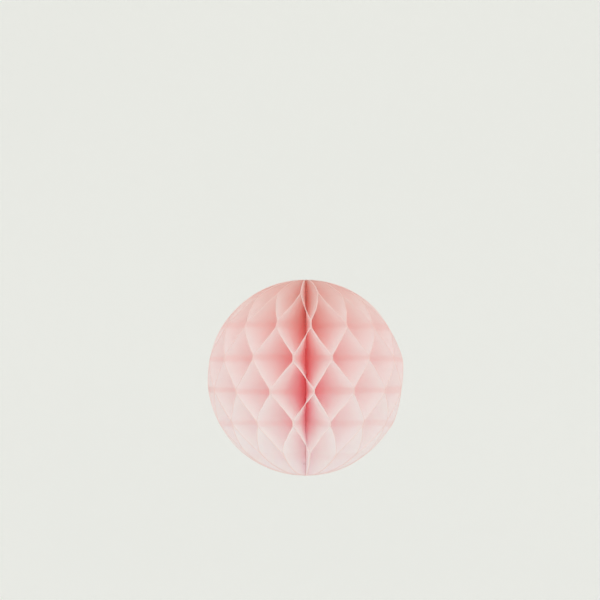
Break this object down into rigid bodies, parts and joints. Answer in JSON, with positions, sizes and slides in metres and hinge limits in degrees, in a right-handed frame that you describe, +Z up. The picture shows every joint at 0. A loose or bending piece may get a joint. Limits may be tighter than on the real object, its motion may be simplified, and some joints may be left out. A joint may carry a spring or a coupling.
{
  "type": "paper honeycomb ball",
  "caption": "Round tissue-paper honeycomb decoration that fans open a full turn about its bound vertical spine, between two back-to-back half-disc boards, and hangs from the spine's top tie.",
  "frame": {"origin": "centre of the open ball, on its spine axis", "axes": "+Z up along the spine, out of the top of the ball; -Y towards the front, and the two boards meet at the back, 4 degrees from +Y"},
  "size_m": [0.1996, 0.1999, 0.2],
  "materials": {
    "tissue": "matte translucent tissue paper",
    "board": "matte card",
    "adhesive": "double-sided tape",
    "thread": "twisted cotton thread"
  },
  "bodies": {
    "spine_and_fixed_cover": {"fixed_cover_board": "board", "adhesive_strip_upper": "adhesive", "adhesive_strip_lower": "adhesive", "binding_tie_top": "thread", "binding_tie_middle": "thread", "binding_tie_bottom": "thread"},
    "moving_cover": {"moving_cover_board": "board"},
    "leaf_01": {"tissue_leaf_01": "tissue"},
    "leaf_02": {"tissue_leaf_02": "tissue"},
    "leaf_03": {"tissue_leaf_03": "tissue"},
    "leaf_04": {"tissue_leaf_04": "tissue"},
    "leaf_05": {"tissue_leaf_05": "tissue"},
    "leaf_06": {"tissue_leaf_06": "tissue"},
    "leaf_07": {"tissue_leaf_07": "tissue"},
    "leaf_08": {"tissue_leaf_08": "tissue"},
    "leaf_09": {"tissue_leaf_09": "tissue"},
    "leaf_10": {"tissue_leaf_10": "tissue"},
    "leaf_11": {"tissue_leaf_11": "tissue"},
    "leaf_12": {"tissue_leaf_12": "tissue"},
    "leaf_13": {"tissue_leaf_13": "tissue"},
    "leaf_14": {"tissue_leaf_14": "tissue"},
    "leaf_15": {"tissue_leaf_15": "tissue"},
    "leaf_16": {"tissue_leaf_16": "tissue"},
    "leaf_17": {"tissue_leaf_17": "tissue"},
    "leaf_18": {"tissue_leaf_18": "tissue"},
    "leaf_19": {"tissue_leaf_19": "tissue"},
    "leaf_20": {"tissue_leaf_20": "tissue"},
    "leaf_21": {"tissue_leaf_21": "tissue"},
    "leaf_22": {"tissue_leaf_22": "tissue"},
    "leaf_23": {"tissue_leaf_23": "tissue"},
    "leaf_24": {"tissue_leaf_24": "tissue"},
    "leaf_25": {"tissue_leaf_25": "tissue"},
    "leaf_26": {"tissue_leaf_26": "tissue"},
    "leaf_27": {"tissue_leaf_27": "tissue"},
    "leaf_28": {"tissue_leaf_28": "tissue"},
    "leaf_29": {"tissue_leaf_29": "tissue"},
    "leaf_30": {"tissue_leaf_30": "tissue"}
  },
  "joints": [
    {"name": "cover_fold", "type": "hinge", "parent": "spine_and_fixed_cover", "child": "moving_cover", "pos_m": [0, 0, 0], "axis": [0, 0, 1], "range_deg": [-350, 0]},
    {"name": "leaf_01_turn", "type": "hinge", "parent": "spine_and_fixed_cover", "child": "leaf_01", "pos_m": [0, 0, 0], "axis": [0, 0, 1], "range_deg": [-6.33, 0.5], "deforming": ["tissue_leaf_01"]},
    {"name": "leaf_02_turn", "type": "hinge", "parent": "spine_and_fixed_cover", "child": "leaf_02", "pos_m": [0, 0, 0], "axis": [0, 0, 1], "range_deg": [-18, 0.5], "deforming": ["tissue_leaf_02"]},
    {"name": "leaf_03_turn", "type": "hinge", "parent": "spine_and_fixed_cover", "child": "leaf_03", "pos_m": [0, 0, 0], "axis": [0, 0, 1], "range_deg": [-29.67, 0.5], "deforming": ["tissue_leaf_03"]},
    {"name": "leaf_04_turn", "type": "hinge", "parent": "spine_and_fixed_cover", "child": "leaf_04", "pos_m": [0, 0, 0], "axis": [0, 0, 1], "range_deg": [-41.33, 0.5], "deforming": ["tissue_leaf_04"]},
    {"name": "leaf_05_turn", "type": "hinge", "parent": "spine_and_fixed_cover", "child": "leaf_05", "pos_m": [0, 0, 0], "axis": [0, 0, 1], "range_deg": [-53, 0.5], "deforming": ["tissue_leaf_05"]},
    {"name": "leaf_06_turn", "type": "hinge", "parent": "spine_and_fixed_cover", "child": "leaf_06", "pos_m": [0, 0, 0], "axis": [0, 0, 1], "range_deg": [-64.67, 0.5], "deforming": ["tissue_leaf_06"]},
    {"name": "leaf_07_turn", "type": "hinge", "parent": "spine_and_fixed_cover", "child": "leaf_07", "pos_m": [0, 0, 0], "axis": [0, 0, 1], "range_deg": [-76.33, 0.5], "deforming": ["tissue_leaf_07"]},
    {"name": "leaf_08_turn", "type": "hinge", "parent": "spine_and_fixed_cover", "child": "leaf_08", "pos_m": [0, 0, 0], "axis": [0, 0, 1], "range_deg": [-88, 0.5], "deforming": ["tissue_leaf_08"]},
    {"name": "leaf_09_turn", "type": "hinge", "parent": "spine_and_fixed_cover", "child": "leaf_09", "pos_m": [0, 0, 0], "axis": [0, 0, 1], "range_deg": [-99.67, 0.5], "deforming": ["tissue_leaf_09"]},
    {"name": "leaf_10_turn", "type": "hinge", "parent": "spine_and_fixed_cover", "child": "leaf_10", "pos_m": [0, 0, 0], "axis": [0, 0, 1], "range_deg": [-111.33, 0.5], "deforming": ["tissue_leaf_10"]},
    {"name": "leaf_11_turn", "type": "hinge", "parent": "spine_and_fixed_cover", "child": "leaf_11", "pos_m": [0, 0, 0], "axis": [0, 0, 1], "range_deg": [-123, 0.5], "deforming": ["tissue_leaf_11"]},
    {"name": "leaf_12_turn", "type": "hinge", "parent": "spine_and_fixed_cover", "child": "leaf_12", "pos_m": [0, 0, 0], "axis": [0, 0, 1], "range_deg": [-134.67, 0.5], "deforming": ["tissue_leaf_12"]},
    {"name": "leaf_13_turn", "type": "hinge", "parent": "spine_and_fixed_cover", "child": "leaf_13", "pos_m": [0, 0, 0], "axis": [0, 0, 1], "range_deg": [-146.33, 0.5], "deforming": ["tissue_leaf_13"]},
    {"name": "leaf_14_turn", "type": "hinge", "parent": "spine_and_fixed_cover", "child": "leaf_14", "pos_m": [0, 0, 0], "axis": [0, 0, 1], "range_deg": [-158, 0.5], "deforming": ["tissue_leaf_14"]},
    {"name": "leaf_15_turn", "type": "hinge", "parent": "spine_and_fixed_cover", "child": "leaf_15", "pos_m": [0, 0, 0], "axis": [0, 0, 1], "range_deg": [-169.67, 0.5], "deforming": ["tissue_leaf_15"]},
    {"name": "leaf_16_turn", "type": "hinge", "parent": "spine_and_fixed_cover", "child": "leaf_16", "pos_m": [0, 0, 0], "axis": [0, 0, 1], "range_deg": [-181.33, 0.5], "deforming": ["tissue_leaf_16"]},
    {"name": "leaf_17_turn", "type": "hinge", "parent": "spine_and_fixed_cover", "child": "leaf_17", "pos_m": [0, 0, 0], "axis": [0, 0, 1], "range_deg": [-193, 0.5], "deforming": ["tissue_leaf_17"]},
    {"name": "leaf_18_turn", "type": "hinge", "parent": "spine_and_fixed_cover", "child": "leaf_18", "pos_m": [0, 0, 0], "axis": [0, 0, 1], "range_deg": [-204.67, 0.5], "deforming": ["tissue_leaf_18"]},
    {"name": "leaf_19_turn", "type": "hinge", "parent": "spine_and_fixed_cover", "child": "leaf_19", "pos_m": [0, 0, 0], "axis": [0, 0, 1], "range_deg": [-216.33, 0.5], "deforming": ["tissue_leaf_19"]},
    {"name": "leaf_20_turn", "type": "hinge", "parent": "spine_and_fixed_cover", "child": "leaf_20", "pos_m": [0, 0, 0], "axis": [0, 0, 1], "range_deg": [-228, 0.5], "deforming": ["tissue_leaf_20"]},
    {"name": "leaf_21_turn", "type": "hinge", "parent": "spine_and_fixed_cover", "child": "leaf_21", "pos_m": [0, 0, 0], "axis": [0, 0, 1], "range_deg": [-239.67, 0.5], "deforming": ["tissue_leaf_21"]},
    {"name": "leaf_22_turn", "type": "hinge", "parent": "spine_and_fixed_cover", "child": "leaf_22", "pos_m": [0, 0, 0], "axis": [0, 0, 1], "range_deg": [-251.33, 0.5], "deforming": ["tissue_leaf_22"]},
    {"name": "leaf_23_turn", "type": "hinge", "parent": "spine_and_fixed_cover", "child": "leaf_23", "pos_m": [0, 0, 0], "axis": [0, 0, 1], "range_deg": [-263, 0.5], "deforming": ["tissue_leaf_23"]},
    {"name": "leaf_24_turn", "type": "hinge", "parent": "spine_and_fixed_cover", "child": "leaf_24", "pos_m": [0, 0, 0], "axis": [0, 0, 1], "range_deg": [-274.67, 0.5], "deforming": ["tissue_leaf_24"]},
    {"name": "leaf_25_turn", "type": "hinge", "parent": "spine_and_fixed_cover", "child": "leaf_25", "pos_m": [0, 0, 0], "axis": [0, 0, 1], "range_deg": [-286.33, 0.5], "deforming": ["tissue_leaf_25"]},
    {"name": "leaf_26_turn", "type": "hinge", "parent": "spine_and_fixed_cover", "child": "leaf_26", "pos_m": [0, 0, 0], "axis": [0, 0, 1], "range_deg": [-298, 0.5], "deforming": ["tissue_leaf_26"]},
    {"name": "leaf_27_turn", "type": "hinge", "parent": "spine_and_fixed_cover", "child": "leaf_27", "pos_m": [0, 0, 0], "axis": [0, 0, 1], "range_deg": [-309.67, 0.5], "deforming": ["tissue_leaf_27"]},
    {"name": "leaf_28_turn", "type": "hinge", "parent": "spine_and_fixed_cover", "child": "leaf_28", "pos_m": [0, 0, 0], "axis": [0, 0, 1], "range_deg": [-321.33, 0.5], "deforming": ["tissue_leaf_28"]},
    {"name": "leaf_29_turn", "type": "hinge", "parent": "spine_and_fixed_cover", "child": "leaf_29", "pos_m": [0, 0, 0], "axis": [0, 0, 1], "range_deg": [-333, 0.5], "deforming": ["tissue_leaf_29"]},
    {"name": "leaf_30_turn", "type": "hinge", "parent": "spine_and_fixed_cover", "child": "leaf_30", "pos_m": [0, 0, 0], "axis": [0, 0, 1], "range_deg": [-344.67, 0.5], "deforming": ["tissue_leaf_30"]}
  ],
  "couplings": [
    {"joint": "leaf_01_turn", "follows": "cover_fold", "ratio": 0.016667},
    {"joint": "leaf_02_turn", "follows": "cover_fold", "ratio": 0.05},
    {"joint": "leaf_03_turn", "follows": "cover_fold", "ratio": 0.083333},
    {"joint": "leaf_04_turn", "follows": "cover_fold", "ratio": 0.11667},
    {"joint": "leaf_05_turn", "follows": "cover_fold", "ratio": 0.15},
    {"joint": "leaf_06_turn", "follows": "cover_fold", "ratio": 0.18333},
    {"joint": "leaf_07_turn", "follows": "cover_fold", "ratio": 0.21667},
    {"joint": "leaf_08_turn", "follows": "cover_fold", "ratio": 0.25},
    {"joint": "leaf_09_turn", "follows": "cover_fold", "ratio": 0.28333},
    {"joint": "leaf_10_turn", "follows": "cover_fold", "ratio": 0.31667},
    {"joint": "leaf_11_turn", "follows": "cover_fold", "ratio": 0.35},
    {"joint": "leaf_12_turn", "follows": "cover_fold", "ratio": 0.38333},
    {"joint": "leaf_13_turn", "follows": "cover_fold", "ratio": 0.41667},
    {"joint": "leaf_14_turn", "follows": "cover_fold", "ratio": 0.45},
    {"joint": "leaf_15_turn", "follows": "cover_fold", "ratio": 0.48333},
    {"joint": "leaf_16_turn", "follows": "cover_fold", "ratio": 0.51667},
    {"joint": "leaf_17_turn", "follows": "cover_fold", "ratio": 0.55},
    {"joint": "leaf_18_turn", "follows": "cover_fold", "ratio": 0.58333},
    {"joint": "leaf_19_turn", "follows": "cover_fold", "ratio": 0.61667},
    {"joint": "leaf_20_turn", "follows": "cover_fold", "ratio": 0.65},
    {"joint": "leaf_21_turn", "follows": "cover_fold", "ratio": 0.68333},
    {"joint": "leaf_22_turn", "follows": "cover_fold", "ratio": 0.71667},
    {"joint": "leaf_23_turn", "follows": "cover_fold", "ratio": 0.75},
    {"joint": "leaf_24_turn", "follows": "cover_fold", "ratio": 0.78333},
    {"joint": "leaf_25_turn", "follows": "cover_fold", "ratio": 0.81667},
    {"joint": "leaf_26_turn", "follows": "cover_fold", "ratio": 0.85},
    {"joint": "leaf_27_turn", "follows": "cover_fold", "ratio": 0.88333},
    {"joint": "leaf_28_turn", "follows": "cover_fold", "ratio": 0.91667},
    {"joint": "leaf_29_turn", "follows": "cover_fold", "ratio": 0.95},
    {"joint": "leaf_30_turn", "follows": "cover_fold", "ratio": 0.98333}
  ]
}
